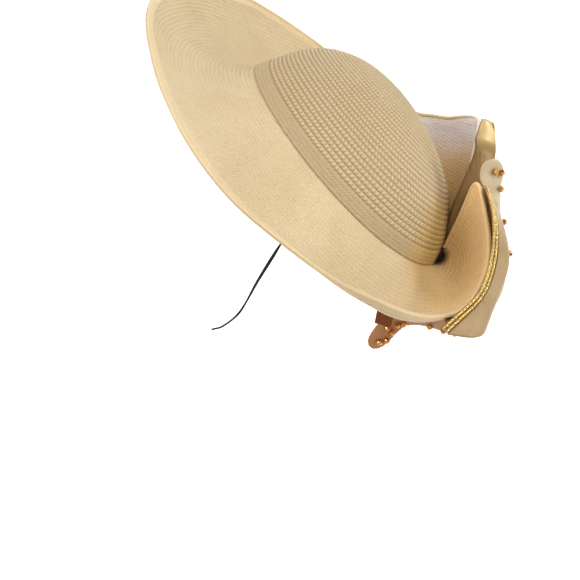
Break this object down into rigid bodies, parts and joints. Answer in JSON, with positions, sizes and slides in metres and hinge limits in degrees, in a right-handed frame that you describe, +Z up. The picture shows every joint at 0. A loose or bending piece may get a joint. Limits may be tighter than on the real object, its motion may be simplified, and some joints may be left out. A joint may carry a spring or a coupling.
{
  "type": "church hat",
  "caption": "Wide-brimmed sewn-straw dress hat with a turned-up slit back, satin bow, padded scroll with set stones and an elastic under the chin.",
  "frame": {"origin": "middle of the head opening, where the head holds the hat", "axes": "+Z up as worn, -X the way the wearer looks, -Y the wearer's left; the crown is tipped back and to the left in this frame"},
  "size_m": [0.2889, 0.2709, 0.3077],
  "materials": {
    "straw_braid": "sewn straw braid with a soft sheen",
    "gold_satin": "gold satin",
    "gold_piping": "metallic cord",
    "cream_satin": "cream satin",
    "amber_stone": "cut and polished",
    "black_elastic": "round braided elastic"
  },
  "bodies": {
    "root": {"crown_band": "straw_braid", "crown": "straw_braid", "brim": "straw_braid", "brim_binding": "straw_braid", "satin_sash": "gold_satin", "satin_fold": "gold_satin", "piping_left_outer": "gold_piping", "piping_left_inner": "gold_piping", "piping_right_outer": "gold_piping", "piping_right_inner": "gold_piping", "scroll": "cream_satin", "stone_01": "amber_stone", "stone_02": "amber_stone", "stone_03": "amber_stone", "stone_04": "amber_stone", "stone_05": "amber_stone", "stone_06": "amber_stone", "stone_07": "amber_stone", "stone_08": "amber_stone", "stone_09": "amber_stone", "stone_10": "amber_stone", "stone_11": "amber_stone", "stone_12": "amber_stone", "stone_13": "amber_stone", "stone_14": "amber_stone", "satin_tail": "gold_satin", "chin_elastic": "black_elastic"}
  },
  "joints": []
}
